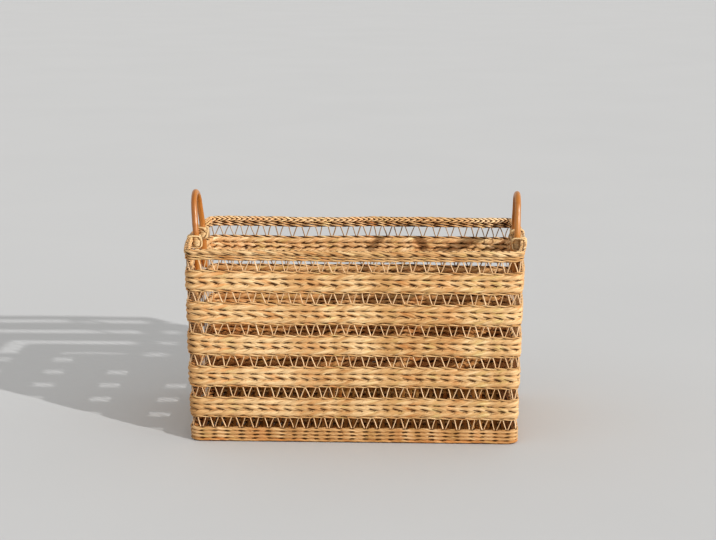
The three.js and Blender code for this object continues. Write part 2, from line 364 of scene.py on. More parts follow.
def lay_map(piece, strands):
    """Gives a straight bundle its own map: across is a strand's number plus its way round, and along
    is the distance in decimetres."""
    corners = np.empty(len(piece.data.loops), dtype=int)
    piece.data.loops.foreach_get("vertex_index", corners)
    points = points_of(piece)[corners]
    sheet = map_of(piece)
    sheet[:, 0] += strand_of(points, strands)
    sheet[:, 1] = points[:, 0] * 10
    write_map(piece, sheet)


def bundle(length, pieces, strands, sides, cuts, girth, breadth):
    """Straight strands of straw side by side round the X axis, as a rope of radius 1."""
    part = length / pieces
    straws = tube(part, sides, 1, cuts)
    bpy.ops.transform.resize(value=(1, girth, breadth))
    bpy.ops.transform.translate(value=(0, 1 - girth, 0))
    for _ in range(strands - 1):
        bpy.ops.mesh.duplicate()
        bpy.ops.transform.rotate(value=2 * math.pi / strands, orient_axis="X",
                                 center_override=(0, 0, 0))
    bpy.ops.object.mode_set(mode="OBJECT")
    repeat(straws, pieces, part)
    lay_map(straws, strands)
    return straws


def vary_strands(straws, strands, length, girth, rng):
    """Makes each straight strand thicker, thinner and further out from place to place, and gives back
    the number of each point's strand."""
    points = points_of(straws)
    step = 2 * math.pi / strands
    number = strand_of(points, strands)
    for strand in range(strands):
        own = number == strand
        along = points[own, 0]
        middle = np.array([math.cos(strand * step), math.sin(strand * step)]) * (1 - girth)
        swell = 1 + uneven(rng, length, 120 * MM, 16 * MM, PLUMP)(along)
        shift = uneven(rng, length, 90 * MM, 18 * MM, STRAY)(along)
        offset = points[own, 1:] - middle
        points[own, 1:] = middle * (1 + shift)[:, None] + offset * swell[:, None]
    place_points(straws, points)
    return number.astype(int)


def linger(inward, up, ring, dwell):
    """Turns each ring of a strand on or back round the rope, so that the strands run flat and slowly
    across the front and steeply behind, as straw does that goes in front of several stakes at once."""
    count = np.maximum(np.bincount(ring), 1)
    before = np.arctan2(*(np.bincount(ring, weights=way) / count for way in (up, inward)))
    after = before.copy()
    for _ in range(8):
        after -= (after - dwell * np.sin(after) - before) / (1 - dwell * np.cos(after))
    turn = (after - before)[ring]
    return inward * np.cos(turn) - up * np.sin(turn), inward * np.sin(turn) + up * np.cos(turn)


def straw_rope(height, inset, width, tall, strands, turn_vs, hand, seed, core, breadth, girth=0.45,
               sides=8, cuts=27, cross=0.5, settle=0.0, dwell=0.0, hollows=(), above=True, below=True,
               shade=1.0):
    """A twisted rope of straw round the wall. `hand` is 1 where its strands fall to the right, seen
    from outside, and -1 where they rise. `cross` is where a groove crosses the front, in Vs, and
    `settle` how much the strands lie flat between two crossings and turn sharply at them."""
    line, length = guide(height, inset)
    turns = round(V_COUNT / turn_vs)
    rng = default_rng(seed)
    rope = bundle(length, turns, strands, sides, cuts, girth, breadth)
    strand = vary_strands(rope, strands, length, girth, rng)
    finish_modifier(rope, "SIMPLE_DEFORM", deform_method="TWIST", deform_axis="X",
                    angle=hand * turns * 2 * math.pi)
    points = points_of(rope)
    along = points[:, 0]
    shift = crowd(along / length) - cross
    crossing = along / length * V_COUNT + shift
    turn = 2 * math.pi / turn_vs
    roll = (math.pi - math.pi / strands
            + hand * (shift * turn + settle * np.sin(strands * crossing * turn))
            + uneven(rng, length, 300 * MM, 45 * MM, ROLL_STRAY)(along))
    lift = uneven(rng, length, 300 * MM, 40 * MM, LIFT_STRAY)(along)
    inward = points[:, 1] * np.cos(roll) - points[:, 2] * np.sin(roll)
    up = points[:, 1] * np.sin(roll) + points[:, 2] * np.cos(roll)
    if dwell:
        rings = turns * (cuts + 1) + 1
        ring = strand * rings + np.round(along / length * (rings - 1)).astype(int)
        inward, up = linger(inward, up, ring, dwell)
    inward = np.maximum(inward, -1.05)
    # The slits between strands are pushed in and darkened with painted shade, more or less at each V.
    v = np.round(crossing).astype(int) % V_COUNT
    beside = (crossing - np.round(crossing)) * length / V_COUNT - rng.normal(0, MARK_STRAY, V_COUNT)[v]
    hollow = np.zeros(len(points))
    for rise, lean, half_long, half_tall in hollows:
        hollow = np.maximum(hollow, slit(beside, (up - rise) * tall / 2, lean, half_long, half_tall))
    hollow = np.minimum(hollow * rng.uniform(FAINTEST_MARK, DEEPEST_MARK, V_COUNT)[v], 1)
    hollow *= np.clip(np.abs(inward) / 0.4, 0, 1)
    # On the lowest row, a painted shadow along the floor, where the row is also pulled in.
    if height < FOOT_ROW:
        over_floor = height + up * tall / 2
        hollow = np.maximum(hollow, np.clip(1.5 - over_floor / FLOOR_SHADE, 0, 1))
    shade_nooks(rope, inward, up, above, below, hollow, shade)
    inward = inward * (1 - HOLLOW_DEPTH * hollow)
    points[:, 1] = inward * width / 2
    points[:, 2] = (up + lift) * tall / 2
    if height < FOOT_ROW:
        points[:, 2] = np.maximum(points[:, 2], -height)
    place_points(rope, points)
    rope = join([rope, heart(length, core)])
    bend_along(rope, line)
    return rope


def heart(length, tall):
    """The hidden middle of a course, which closes the wall behind the grooves of its strands. It is
    painted the deep brown of painted shade all over.
    """
    middle = tube(length, 6, 1, 100)
    bpy.ops.mesh.subdivide(number_cuts=1)
    bpy.ops.transform.resize(value=(1, HEART_THICKNESS / 2, tall / 2))
    bpy.ops.object.mode_set(mode="OBJECT")
    write_shares(middle, "nook", np.ones(len(middle.data.vertices)))
    return middle


def slit(beside, over, lean, half_long, half_tall):
    """How deep a point lies in the slit that strands leave where they dive between two stakes, from its
    distance beside and over the slit's middle. The slit is a leaning lens; the rope is pushed in there
    and darkened with painted shade."""
    along = (beside * math.cos(lean) + over * math.sin(lean)) / half_long
    across = (over * math.cos(lean) - beside * math.sin(lean)) / half_tall
    return np.clip(1.6 * np.exp(-along ** 4 - (across * (1 + 0.6 * along ** 2)) ** 2), 0, 1)


def write_shares(piece, name, shares):
    """Writes a share from 0 to 1 for each point of a piece, for its material."""
    marks = piece.data.attributes.new(name, "FLOAT", "POINT")
    marks.data.foreach_set("value", np.clip(shares, 0, 1))


def shade_nooks(rope, inward, up, above, below, hollow, shade):
    """Writes how deep each point of a rope of radius 1 lies in the weave, as painted shade for its
    material, and how far it looks into the basket. `above` and `below` say whether another course lies
    there, which deepens the painted shade."""
    reach = np.clip((np.hypot(inward, up) - 0.56) / 0.40, 0, 1)
    facing = np.clip((np.abs(inward) - 0.05) / 0.4, 0, 1)
    if not above:
        facing[up > 0] = 1
    if not below:
        facing[up < 0] = 1
    open_share = reach * reach * (3 - 2 * reach) * (0.6 + 0.4 * facing)
    open_share *= 1 - hollow * (1 - 0.1 * reach)
    write_shares(rope, "nook", (1 - open_share) * shade)
    write_shares(rope, "inside", inward / 0.5)


def close_and_smooth(piece):
    """Merges the two ends of a closed piece and shades it smooth."""
    edit_all(piece)
    bpy.ops.mesh.remove_doubles(threshold=0.02 * MM)
    smooth_outwards(piece)


def join(pieces):
    """Joins several pieces into the first."""
    deselect()
    for piece in pieces:
        piece.select_set(True)
    bpy.context.view_layer.objects.active = pieces[0]
    bpy.ops.object.join()
    return pieces[0]


def dress(piece, finish, slot, *nodes):
    """Gives a finished piece its name, material and body, and hides the nodes that it stands for.
    `slot` is not used.
    """
    piece.name = nodes[0].replace("_", "-")
    piece.data.materials.clear()
    piece.data.materials.append(finish)
    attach(piece, "root")
    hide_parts(*nodes)


def middle_of(node):
    """The height of a node's middle, and how tall it is."""
    low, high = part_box(node)
    return (low.z + high.z) / 2, high.z - low.z


def wall_course(node, finish, slot, width, strands, hand, seed, swell, inset=WALL_MIDDLE, along_with=(),
                **form):
    """One straw course that stands for one node, joined with the pieces that go along with it. It has
    as many strands as the Vs that each of them takes to turn round it once."""
    height, tall = middle_of(node)
    rope = straw_rope(height, inset, width, tall * swell, strands, strands, hand, seed,
                      tall + HEART_OVERLAP, **form)
    rope = join([rope, *along_with])
    close_and_smooth(rope)
    let_drift(rope)
    dress(rope, finish, slot, node)


# ---- split-cane stakes


def stakes_row(row, finish):
    """An open row: two strips of cane for each V, which come close at the bottom."""
    node = f"stakes_row_{row}"
    height, tall = middle_of(node)
    line, length = guide(height, WALL_MIDDLE)
    pitch = length / V_COUNT
    count = 2 * V_COUNT
    half = tall / 2 + STAKE_HIDDEN
    strip = tube(2 * half, 6, 1, 4, "TRIFAN")
    bpy.ops.transform.translate(value=(-half, 0, 0))
    bpy.ops.transform.rotate(value=math.pi / 2, orient_axis="Y", center_override=(0, 0, 0))
    bpy.ops.transform.resize(value=(STAKE_WIDTH / 2, STAKE_THICKNESS / 2, 1))
    bpy.ops.transform.translate(value=(pitch / 2, 0, 0))
    bpy.ops.object.mode_set(mode="OBJECT")
    repeat(strip, count, pitch / 2, merged=False)
    points = points_of(strip)
    write_shares(strip, "nook", points[:, 1] / (STAKE_THICKNESS / 2) * 1.3)
    points = points.reshape(count, -1, 3)
    rng = default_rng(500 + row)
    shift = (BANDS + 1 - row) % 2 * 0.5
    for index, own in enumerate(points):
        v, side = divmod(index, 2)
        lean = 1 if side else -1
        place = v + 0.5 + shift
        middle, foot, head, bow, deep = rng.normal(0, STAKE_STRAY)
        middle += (place - crowd(np.array([place / V_COUNT]))[0]) * pitch
        foot = middle + lean * (STAKE_FOOT_APART / 2 + foot)
        head = middle + lean * (STAKE_HEAD_APART / 2 + head)
        across = (own[:, 0] - (index + 1) * pitch / 2) * rng.uniform(*STAKE_BREADTHS)
        rise = own[:, 2] / tall + 0.5
        turn = STAKE_TWIST * side + rng.normal(0, STAKE_TWIST_STRAY)
        own[:, 0] = (foot + (head - foot) * rise + bow * (1 - (2 * rise - 1) ** 2)
                     + across * math.cos(turn) - own[:, 1] * math.sin(turn))
        own[:, 1] = across * math.sin(turn) + own[:, 1] * math.cos(turn) + deep
    place_points(strip, points)
    sheet = map_of(strip).reshape(count, -1, 2)
    sheet[:, :, 0] += np.arange(count)[:, None]
    write_map(strip, sheet)
    bend_along(strip, line)
    smooth_outwards(strip)
    let_drift(strip)
    dress(strip, finish, "split_cane", node)


# ---- bent-cane bows


def smooth_route(stations):
    """A line through these points, as even as a bent cane."""
    stations = np.array(stations)
    gaps = np.sqrt(np.linalg.norm(np.diff(stations, axis=0), axis=1))
    knots = np.concatenate([[0], np.cumsum(gaps)])
    slopes = np.gradient(stations, knots, axis=0)
    route = [stretch(stations[index], stations[index + 1], slopes[index] * gap, slopes[index + 1] * gap)
             for index, gap in enumerate(gaps)]
    return np.vstack([*route, stations[-1:]])


def leg_place(height, side, inset=LEG_INSET):
    """Where a leg's middle stands at a height, on the right-hand wall: `side` is -1 in front."""
    line = wall_line(height, inset)
    return point_along(line, side * HANDLE_PEAKS / V_COUNT * line_length(line))


def bow(node, lean, left, finish):
    """One bow handle: legs down inside the wall, and a round top that leans out."""
    def leaned(height):
        rim = leg_place(RIM_HEIGHT, 1)
        return rim[0] + lean * (height - RIM_HEIGHT) / HANDLE_RISE

    def leg(side):
        stations = []
        for height in LEG_HEIGHTS:
            x, y = leg_place(min(height, RIM_HEIGHT), side)
            stations.append((x if height <= RIM_HEIGHT else leaned(height), y, height))
        stations.append((leaned(BOW_MIDDLE), side * BOW_RADIUS, BOW_MIDDLE))
        return stations

    top = [(leaned(BOW_MIDDLE + BOW_RADIUS * math.sin(turn)), -BOW_RADIUS * math.cos(turn),
            BOW_MIDDLE + BOW_RADIUS * math.sin(turn))
           for turn in (math.pi / 4, math.pi / 2, 3 * math.pi / 4)]
    route = smooth_route(leg(-1) + top + leg(1)[::-1])
    if left:
        route[:, :2] *= -1
    length = reach_of(route)[-1]
    cane = rod(length, 24, HANDLE_DIAMETER / 2, 100, "TRIFAN")
    points = points_of(cane)
    rng = default_rng(700 + int(left))
    along = points[:, 0]
    swell = 1 + uneven(rng, length, 200 * MM, 40 * MM, 0.018)(along)
    knots = np.zeros(len(along))
    for knot in np.arange(0.12, 0.95, 0.29) * length + rng.normal(0, 6 * MM, 3):
        swell += 0.035 * np.exp(-((along - knot) / (2.2 * MM)) ** 2)
        knots += np.exp(-((along - knot - 1.5 * MM) / (1.2 * MM)) ** 2)
    write_shares(cane, "nook", knots)
    end = np.minimum(along, length - along)
    swell *= np.clip(0.72 + end / (5 * MM), 0, 1)
    points[:, 1:] *= swell[:, None]
    place_points(cane, points)
    bend_along(cane, guide_curve(route, False))
    take(cane)
    bpy.ops.object.shade_smooth()
    dress(cane, finish, "bent_cane", node)


def inner_rim(finish):
    """The inner half of the border: two small ropes of opposite hand, one on the other."""
    height, tall = middle_of("rim_rope_inner")
    inset = 2 * WALL_MIDDLE - 1.7 * MM
    rope = join([
        straw_rope(height + side * tall / 4, inset, 5.2 * MM, tall * 0.58, 2, 1, side, 320 + side,
                   tall / 2, 0.62, girth=0.5, cuts=9, above=side < 0, below=side > 0, shade=0.5)
        for side in (1, -1)
    ])
    close_and_smooth(rope)
    let_drift(rope)
    dress(rope, finish, "straw_wale", "rim_rope_inner")


# ---- peel lashings


def lashing(node, side, left, finish):
    """Five narrow strips of peel side by side, twice round the leg and the rim and crossed inside."""
    half = LASHING_THICKNESS / 2
    low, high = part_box(node)
    under, over = low.z + half, high.z - half
    outer = -LEG_INSET - ROPE_OVERHANG - CLEARANCE - half
    inner = HANDLE_DIAMETER / 2 + CLEARANCE + half
    crossing = inner + LASHING_THICKNESS + CLEARANCE
    beside = HANDLE_DIAMETER / 2 + CLEARANCE + LASHING_WIDTH / 2
    turn = LASHING_BEND

    def half_round(start, inside):
        return [(inside, start, under + turn, 1, 0), (inside, -start, over - turn, 1, 0),
                (inside - turn, -start, over, 0, 1), (outer + turn, -start, over, 0, 1),
                (outer, -start, over - turn, -1, 0), (outer, -start, under + turn, -1, 0),
                (outer + turn, -start, under, 0, -1), (inner - turn, -start, under, 0, -1)]

    places, faces = [], []
    for inside, along, height, inward, up in half_round(-beside, inner) + half_round(beside, crossing):
        axis = leg_place(height, side)
        face = leg_place(height, side, 0)
        outward = (face - axis) / np.linalg.norm(face - axis)
        sideways = np.array([-outward[1], outward[0]])
        places.append([*(axis - outward * inside + sideways * along), height])
        faces.append([*(-outward * inward), up])
    places, faces = np.array(places), np.array(faces)
    if left:
        places[:, :2] *= -1
        faces[:, :2] *= -1
    path, normal = round_route(places), round_route(faces)
    ahead = unit(np.roll(path, -1, axis=0) - np.roll(path, 1, axis=0))
    across = unit(np.cross(ahead, normal))
    normal = np.cross(across, ahead)
    strips = []
    count = len(path)
    rng = default_rng(800 + 2 * side + left)
    for place in range(-1, LASHING_STRIPS - 1):
        strip = rod(1, 8, 1, 100)
        points = points_of(strip)
        position = points[:, 0] * count
        stray = uneven(rng, count, count / 2, count / 12, 0.12 * MM)(position)
        broad = 1.06 + uneven(rng, count, count / 2, count / 10, 0.05)(position)
        thick = half * (1.35 - 0.12 * (place - 1) ** 2)
        index = np.floor(position).astype(int) % count
        share = (position - np.floor(position))[:, None]
        following = (index + 1) % count

        def at(rows):
            return rows[index] * (1 - share) + rows[following] * share

        aside = PEEL_STRIP_WIDTH * (points[:, 1] * broad / 2 + place) + stray
        points = (at(path) + at(across) * aside[:, None]
                  + at(normal) * (points[:, 2] * thick - 0.2 * MM * (place - 1) ** 2)[:, None])
        place_points(strip, points)
        strips.append(strip)
    strap = join([coil(side, left, low.z, high.z), *strips])
    close_and_smooth(strap)
    dress(strap, finish, "cane_peel", node)


def coil(side, left, low, high):
    """A close coil of peel round one leg, between two heights, under the crossed strips."""
    peel = rod(1, 8, 1, 200, "TRIFAN")
    points = points_of(peel)
    rng = default_rng(850 + 2 * side + left)
    along = points[:, 0]
    turn = along * COIL_TURNS * 2 * math.pi
    pitch = (high - low) / (COIL_TURNS + 1)
    height = (low + pitch / 2 + along * (high - low - pitch)
              + uneven(rng, 1, 0.5, 0.06, 0.25 * MM)(along))
    axis = np.array([leg_place(min(at, RIM_HEIGHT), side) for at in height])
    if left:
        axis *= -1
    far = ((HANDLE_DIAMETER + COIL_THICKNESS) / 2 + uneven(rng, 1, 0.5, 0.06, 0.15 * MM)(along)
           + points[:, 2] * COIL_THICKNESS / 2)
    place_points(peel, np.c_[axis[:, 0] + far * np.cos(turn), axis[:, 1] + far * np.sin(turn),
                             height + points[:, 1] * pitch * 0.56])
    return peel


def round_route(rows):
    """A closed smooth line through rows of numbers."""
    before, after, later = (np.roll(rows, shift, axis=0) for shift in (1, -1, -2))
    route = []
    for a, b, c, d in zip(before, rows, after, later):
        gaps = [max(np.linalg.norm(q - p) ** 0.5, 1e-6) for p, q in ((a, b), (b, c), (c, d))]
        slope_b = ((b - a) / gaps[0] - (c - a) / (gaps[0] + gaps[1]) + (c - b) / gaps[1]) * gaps[1]
        slope_c = ((c - b) / gaps[1] - (d - b) / (gaps[1] + gaps[2]) + (d - c) / gaps[2]) * gaps[1]
        route.append(stretch(b, c, slope_b, slope_c))
    return np.vstack(route)


# ---- the base


def base_stick(node, seed, finish):
    """One lengthwise stick of raw cane, with its knots."""
    low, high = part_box(node)
    length = high.x - low.x
    rng = default_rng(seed)
    stick = rod(length, 12, (high.z - low.z) / 2, 100, "TRIFAN")
    points = points_of(stick)
    along = points[:, 0]
    swell = 0.96 + uneven(rng, length, 200 * MM, 30 * MM, 0.02)(along)
    knots = np.zeros(len(along))
    for knot in np.arange(rng.uniform(20, 120) * MM, length, 140 * MM):
        swell += 0.06 * np.exp(-((along - knot) / (1.8 * MM)) ** 2)
        knots += np.exp(-((along - knot) / (3 * MM)) ** 2)
    write_shares(stick, "nook", knots)
    points[:, 1:] *= np.minimum(swell, 1.0)[:, None]
    points += np.array([low.x, (low.y + high.y) / 2, (low.z + high.z) / 2])
    place_points(stick, points)
    take(stick)
    bpy.ops.object.shade_smooth()
    dress(stick, finish, "base_cane", node)


def weaver_path(low, high, first):
    """The line of one weaver, to and fro between the long walls, and its breadth. Its first crossing
    has the number `first`."""
    pitch = (high.x - low.x + BASE_STRAW_GAP) / BASE_CROSSINGS
    breadth = pitch - BASE_STRAW_GAP
    turn_middle = high.y - breadth / 2 - pitch / 2
    steps = np.linspace(-1, 1, 61)[1:-1]
    bends = np.linspace(0, math.pi, 13)
    path = [[[low.x + breadth / 2, -high.y]]]
    for crossing in range(BASE_CROSSINGS):
        x = low.x + breadth / 2 + crossing * pitch
        ahead = -1 if crossing % 2 else 1
        path.append(np.c_[np.full(len(steps), x), ahead * steps * turn_middle])
        path.append(np.c_[x + pitch / 2 * (1 - np.cos(bends)),
                          ahead * (turn_middle + pitch / 2 * np.sin(bends))])
    path[-1] = [[x, ahead * high.y]]
    path = np.vstack(path)
    number = first + np.floor((path[:, 0] - low.x + BASE_STRAW_GAP / 2) / pitch)
    over = np.where(number % 2 == 0, 1, -1)
    wave = np.cos(math.pi * path[:, 1] / BASE_STICK_GAP)
    wave = np.sign(wave) * np.abs(wave) ** 0.8
    ends = np.clip((high.y - np.abs(path[:, 1])) / (BASE_STICK_GAP / 2), 0, 1)
    crest = (high.z - low.z - BASE_STRAW_THICKNESS) / 2
    return np.c_[path, (high.z + low.z) / 2 + over * crest * wave * ends], breadth


def base_weaver(node, index, finish):
    """One long flat straw, to and fro over and under the sticks."""
    low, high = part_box(node)
    path, breadth = weaver_path(low, high, index * BASE_CROSSINGS)
    reached = reach_of(path)
    length = reached[-1]
    part = length / BASE_CROSSINGS
    straw = rod(part, 8, 1, 80)
    repeat(straw, BASE_CROSSINGS, part)
    lay_map(straw, 1)
    points = points_of(straw)
    along = points[:, 0]
    heading = np.gradient(path, reached, axis=0)
    heading[:, 2] = 0

    def at(rows):
        return np.stack([np.interp(along, reached, rows[:, axis]) for axis in range(3)], axis=1)

    ahead = unit(at(unit(heading)))
    beside = np.c_[-ahead[:, 1], ahead[:, 0], np.zeros(len(ahead))]
    rng = default_rng(920 + index)
    broad = breadth / 2 * (1.13 + uneven(rng, length, 200 * MM, 25 * MM, 0.03)(along))
    thick = BASE_STRAW_THICKNESS / 2 * (0.95 + uneven(rng, length, 200 * MM, 25 * MM, 0.05)(along))
    roll = uneven(rng, length, 200 * MM, 40 * MM, 0.06)(along)
    placed = at(path) + beside * (points[:, 1] * broad)[:, None]
    placed[:, 2] += points[:, 2] * thick + points[:, 1] * broad * roll
    place_points(straw, placed)
    edit_all(straw)
    bpy.ops.mesh.select_all(action="DESELECT")
    bpy.ops.mesh.select_mode(type="EDGE")
    bpy.ops.mesh.select_non_manifold()
    bpy.ops.mesh.edge_face_add()
    smooth_outwards(straw)
    dress(straw, finish, "base_straw", node)


def end_straws():
    """Flat straws over the sticks at each end of the base, where the weavers stop short of the wall."""
    low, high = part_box("base_weaver_8")
    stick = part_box("base_stick_3")[1]
    pitch = (stick.x - high.x) / END_STRAWS
    length = high.y - low.y
    straws = []
    for number in range(2 * END_STRAWS):
        side, place = (1, -1)[number % 2], number // 2
        straw = rod(length, 8, 1, 80, "TRIFAN")
        lay_map(straw, 1)
        points = points_of(straw)
        rng = default_rng(940 + number)
        along = points[:, 0]
        y = along - length / 2
        broad = pitch / 2 * (1.12 + uneven(rng, length, 200 * MM, 25 * MM, 0.03)(along))
        rise = END_STRAW_LOW + (stick.z + BASE_STRAW_THICKNESS / 2 - END_STRAW_LOW) * (
            0.5 + 0.5 * np.cos(2 * math.pi * y / BASE_STICK_GAP))
        x = side * (high.x + (place + 0.5) * pitch) + points[:, 1] * broad
        # A light painted shade all over, and the painted shade of the basket's inside low down.
        write_shares(straw, "nook", np.full(len(points), 0.45))
        write_shares(straw, "inside", np.ones(len(points)))
        place_points(straw, np.c_[x, y, rise + points[:, 2] * BASE_STRAW_THICKNESS / 2])
        straws.append(straw)
    return straws


# ---- finishes


# The brown of painted shade in the deepest places, and what a colour is multiplied by where straw is
# greener or ruddier, in painted shade low inside the basket, in painted light high inside it, near the
# floor or creased.
DEEP = (0.055, 0.02, 0.005)
GREENER, RUDDIER = (0.86, 0.97, 0.72), (1.0, 0.80, 0.66)
PAINTED_SHADE_LOW_INSIDE, PAINTED_LIGHT_HIGH_INSIDE = (0.88, 0.62, 0.40), (1.14, 1.15, 1.22)
NEAR_FLOOR, CREASED = (0.80, 0.77, 0.74), (0.62, 0.5, 0.4)


def sheet_of(name):
    """A new material with a Principled shader, and its tree."""
    material = bpy.data.materials.new(name)
    material.use_nodes = True
    return material, material.node_tree


def feed(tree, value, socket):
    """Gives a socket a plain value or a colour, or links it to the output that feeds it."""
    if isinstance(value, bpy.types.NodeSocket):
        tree.links.new(value, socket)
    else:
        socket.default_value = (*value, 1) if isinstance(value, tuple) else value


def node(tree, kind, inputs=(), **settings):
    """Adds a node with these settings and inputs."""
    made = tree.nodes.new("ShaderNode" + kind)
    for name, value in settings.items():
        setattr(made, name, value)
    for name, value in dict(inputs).items():
        feed(tree, value, made.inputs[name])
    return made


def math_node(tree, operation, *values):
    """One step of arithmetic."""
    return node(tree, "Math", enumerate(values), operation=operation).outputs[0]


def weighed(tree, *parts):
    """The sum of values, each times its weight."""
    total = 0.0
    for value, weight in parts:
        total = math_node(tree, "MULTIPLY_ADD", value, weight, total)
    return total


def spread(tree, value, low, high, out_low=0.0, out_high=1.0):
    """Maps a value from one range to another, and holds it inside that."""
    return node(tree, "MapRange", {"Value": value, "From Min": low, "From Max": high,
                                   "To Min": out_low, "To Max": out_high}).outputs[0]


def noise(tree, place, scale, detail=2.0, roughness=0.5):
    """Soft random patches, from 0 to 1."""
    return node(tree, "TexNoise", {"Vector": place, "Scale": scale, "Detail": detail,
                                   "Roughness": roughness}).outputs[0]


def blend(tree, share, first, second, kind="MIX"):
    """Two colours mixed by a share. The Mix node's share and colours are its sockets 0, 6 and 7."""
    made = node(tree, "Mix", {0: share, 6: first, 7: second}, data_type="RGBA", blend_type=kind)
    return made.outputs[2]


def tinted(tree, share, color, tint):
    """A colour that goes over, by a share, to itself times a tint."""
    return blend(tree, share, color, blend(tree, 1.0, color, tint, "MULTIPLY"))


def share_of(tree, name):
    """A share that write_shares wrote for each point of a piece."""
    return node(tree, "Attribute", attribute_name=name).outputs["Fac"]


def ramp(tree, value, *stops):
    """Colours along a scale from 0 to 1, each as (where, colour)."""
    made = node(tree, "ValToRGB", {"Fac": value})
    scale = made.color_ramp
    scale.elements.remove(scale.elements[1])
    for index, (where, color) in enumerate(stops):
        stop = scale.elements[0] if index == 0 else scale.elements.new(where)
        stop.position = where
        stop.color = (*color, 1)
    return made.outputs[0]


def make_grain_group():
    """The grain of straw and cane. Straws and Fibres run along a strand, broad and hair-fine, with
    Lines between the straws. Tone and Hue stray from strand to strand and slowly along each. Clouds
    and Specks age the whole basket unevenly."""
    tree = bpy.data.node_groups.new("grain", "ShaderNodeTree")
    for label in ("Across", "Along", "Straws across", "Fibres across", "Seed", "Place"):
        kind = "NodeSocketVector" if label == "Place" else "NodeSocketFloat"
        tree.interface.new_socket(name=label, in_out="INPUT", socket_type=kind)
    for label in ("Straws", "Fibres", "Lines", "Tone", "Hue", "Clouds", "Specks"):
        tree.interface.new_socket(name=label, in_out="OUTPUT", socket_type="NodeSocketFloat")
    given = tree.nodes.new("NodeGroupInput").outputs
    out = tree.nodes.new("NodeGroupOutput").inputs

    def times(value, factor):
        return math_node(tree, "MULTIPLY", value, factor)

    def along(x, rate):
        place = {"X": x, "Y": times(given["Along"], rate), "Z": given["Seed"]}
        return node(tree, "CombineXYZ", place).outputs[0]

    straws = noise(tree, along(times(given["Across"], given["Straws across"]), 2.2), 1.0, 1.0)
    fibres = noise(tree, along(times(given["Across"], given["Fibres across"]), 5.0), 1.0, 2.0, 0.6)
    crease = math_node(tree, "ABSOLUTE", math_node(tree, "SUBTRACT", straws, 0.5))
    far = times(math_node(tree, "FLOOR", given["Across"]), 7.3)
    tone = noise(tree, along(far, 1.9), 1.0, 1.0)
    hue = noise(tree, along(math_node(tree, "ADD", far, 41.0), 1.9), 1.3, 1.0)
    clouds, specks = noise(tree, given["Place"], 9.0), noise(tree, given["Place"], 420.0, 1.0)
    for label, value, low, high in (("Straws", straws, 0.32, 0.68), ("Fibres", fibres, 0.3, 0.7),
                                    ("Lines", crease, 0.0, 0.05), ("Tone", tone, 0.3, 0.7),
                                    ("Hue", hue, 0.3, 0.7), ("Clouds", clouds, 0.35, 0.65),
                                    ("Specks", specks, 0.62, 0.78)):
        tree.links.new(spread(tree, value, low, high), out[label])
    return tree


GRAIN = make_grain_group()


def grain_of(tree, straws_across, fibres_across, seed):
    """The grain of a finish, and the places that it lies on. In a piece's own map, a strand's number
    and the way round it are across, and the distance is along."""
    where = node(tree, "SeparateXYZ", {"Vector": node(tree, "UVMap").outputs[0]}).outputs
    place = node(tree, "TexCoord").outputs["Object"]
    inputs = {"Across": where["X"], "Along": where["Y"], "Straws across": straws_across,
              "Fibres across": fibres_across, "Seed": seed, "Place": place}
    return node(tree, "Group", inputs, node_tree=GRAIN).outputs, place


def surface(tree, color, relief, strength, depth, rough, sheen):
    """Joins colour, relief and roughness to the shader, and sets how much it shines."""
    shader = tree.nodes["Principled BSDF"]
    bump = node(tree, "Bump", {"Height": relief, "Strength": strength, "Distance": depth}).outputs[0]
    for socket, value in (("Base Color", color), ("Normal", bump), ("Roughness", rough)):
        tree.links.new(value, shader.inputs[socket])
    shader.inputs["Specular IOR Level"].default_value = sheen
    return shader


def straw_finish(name, dark, middle, light, seed, straws_across=4.0, tint=None, sheen=0.15):
    """Dry straw: streaks along every strand, strands lighter and darker, and deep brown painted shade
    in the nooks. Inside the basket, painted shade makes it browner low down and painted light makes it
    paler high up."""
    material, tree = sheet_of(name)
    grain, place = grain_of(tree, straws_across, 26.0, seed)
    mixed = weighed(tree, (grain["Tone"], 0.46), (grain["Straws"], 0.34), (grain["Fibres"], 0.14),
                    (grain["Clouds"], 0.25))
    color = ramp(tree, mixed, (0.12, dark), (0.5, middle), (0.92, light))
    color = tinted(tree, spread(tree, grain["Hue"], 0.68, 1.0, 0.0, 0.5), color, GREENER)
    color = tinted(tree, spread(tree, grain["Hue"], 0.0, 0.32, 0.8, 0.0), color, RUDDIER)
    if tint:
        color = tinted(tree, spread(tree, grain["Clouds"], 0.1, 0.8, 0.0, 0.7), color, tint)
    inner = share_of(tree, "inside")
    height = node(tree, "SeparateXYZ", {"Vector": place}).outputs["Z"]
    # Painted shade darkens and reddens inner faces low in the basket; painted light makes inner faces
    # near the rim paler.
    painted_shade_low_inside = math_node(tree, "MULTIPLY", inner, spread(tree, height, 0.10, 0.28, 0.75, 0.0))
    color = tinted(tree, painted_shade_low_inside, color, PAINTED_SHADE_LOW_INSIDE)
    painted_light_high_inside = math_node(tree, "MULTIPLY", inner, spread(tree, height, 0.22, 0.26))
    color = tinted(tree, painted_light_high_inside, color, PAINTED_LIGHT_HIGH_INSIDE)
    color = tinted(tree, spread(tree, height, 0.0, 0.24, 0.6, 0.0), color, NEAR_FLOOR)
    color = tinted(tree, spread(tree, grain["Lines"], 0.0, 1.0, 0.35, 0.0), color, CREASED)
    # Painted shade: the nooks of the weave, the slits, the line along the floor and the hidden heart go
    # deep brown.
    color = blend(tree, spread(tree, share_of(tree, "nook"), 0.3, 0.82), color, DEEP)
    color = blend(tree, math_node(tree, "MULTIPLY", grain["Specks"], 0.35), color, dark)
    relief = weighed(tree, (grain["Fibres"], 0.4), (grain["Lines"], 0.7))
    rough = math_node(tree, "MULTIPLY_ADD", grain["Fibres"], 0.16, 0.5)
    surface(tree, color, relief, 0.8, 0.25 * MM, rough, sheen)
    return material


